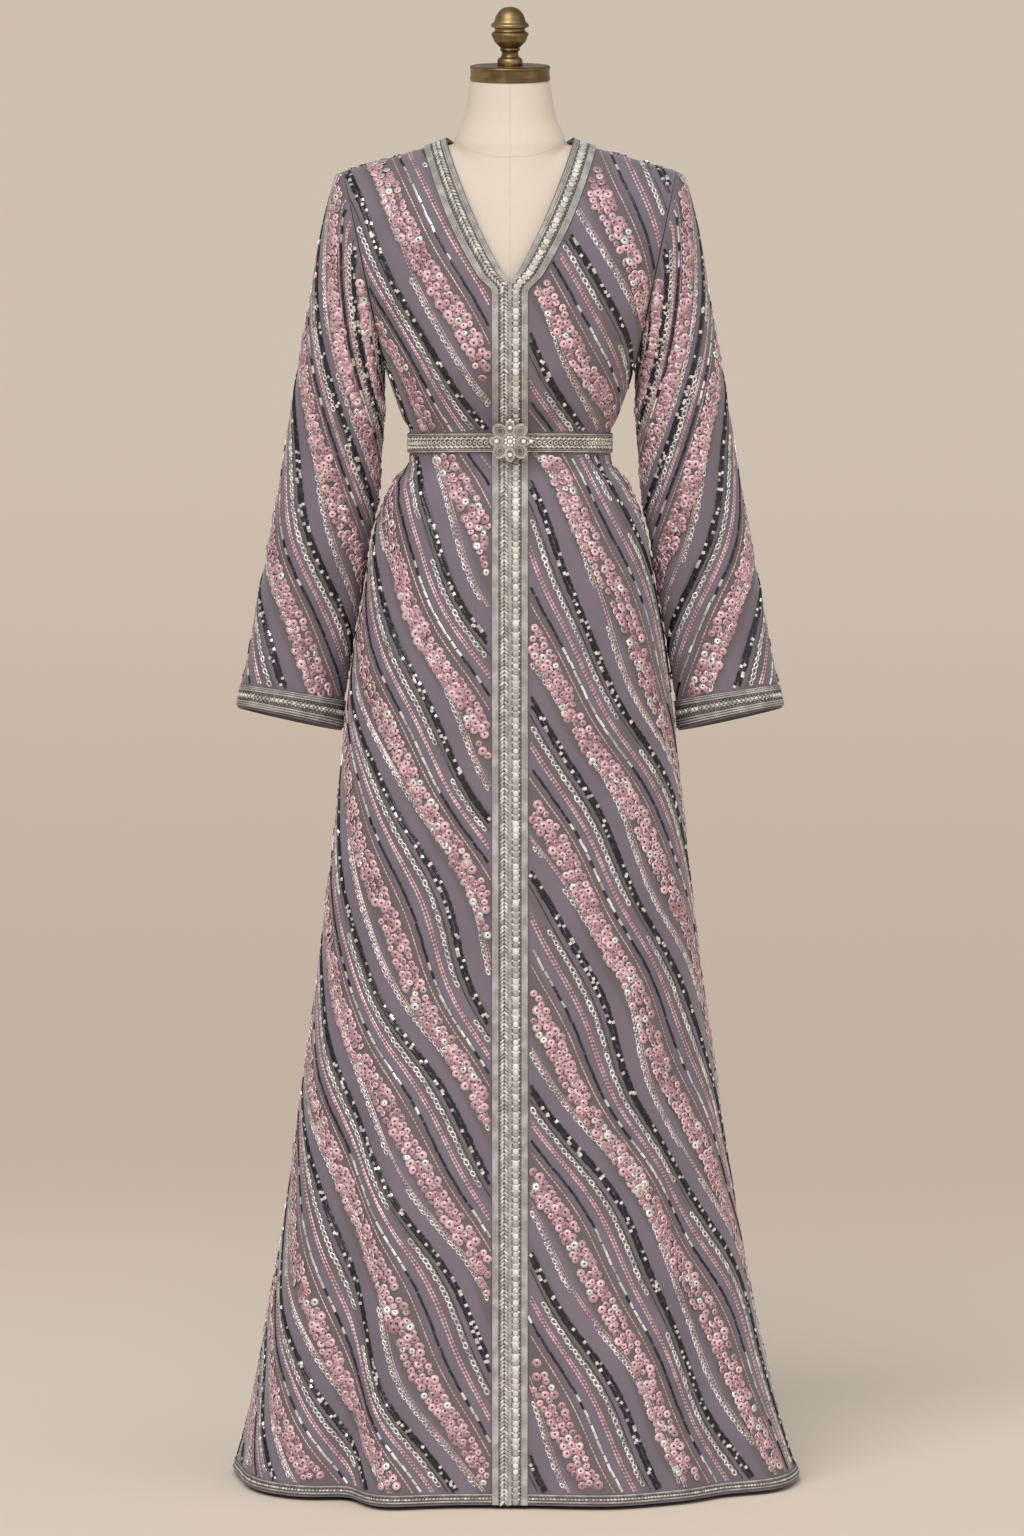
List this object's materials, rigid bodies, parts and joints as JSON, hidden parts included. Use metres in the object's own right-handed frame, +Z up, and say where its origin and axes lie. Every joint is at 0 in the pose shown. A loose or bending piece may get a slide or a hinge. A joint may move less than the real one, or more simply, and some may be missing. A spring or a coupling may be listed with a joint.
{
  "type": "kaftan on a dress form",
  "caption": "Floor-length open-front kaftan with V neck, long set-in sleeves, braid trims and a metallic belt, worn by a limbless dress form on a round base.",
  "frame": {"origin": "centre of the stand base's flat underside, on the floor, on the axis of the pole and the neck", "axes": "+Z up along the pole; the garment's front faces -Y; +X is the wearer's left"},
  "size_m": [0.6434, 0.4447, 1.6728],
  "materials": {
    "cloth": "sheer woven cloth covered with paillettes and beads",
    "pink_paillettes": "pearly pink, cupped discs with a hole",
    "jet_beads": "blue-black cut beads",
    "silver_beads": "silver-lined beads and leaf-shaped spangles",
    "copper_thread": "rose-gold metal thread",
    "braid": "silver-grey metallic braid",
    "belt_metal": "warm silver filigree",
    "form_cover": "plain linen, stretched smooth",
    "brass": "antique, satin",
    "stand_steel": "satin dark paint"
  },
  "bodies": {
    "root": {"front_right": "cloth", "front_left": "cloth", "back": "cloth", "sleeve_right": "cloth", "sleeve_left": "cloth", "front_trim_right": "braid", "front_trim_left": "braid", "nape_trim": "braid", "cuff_trim_right": "braid", "cuff_trim_left": "braid", "hem_trim_right": "braid", "hem_trim_left": "braid", "hem_trim_back": "braid", "belt": "belt_metal", "belt_rosette": "belt_metal", "dress_form": "form_cover", "neck_cap": "brass", "finial": "brass", "stand_pole": "stand_steel", "stand_base": "stand_steel"}
  },
  "joints": []
}
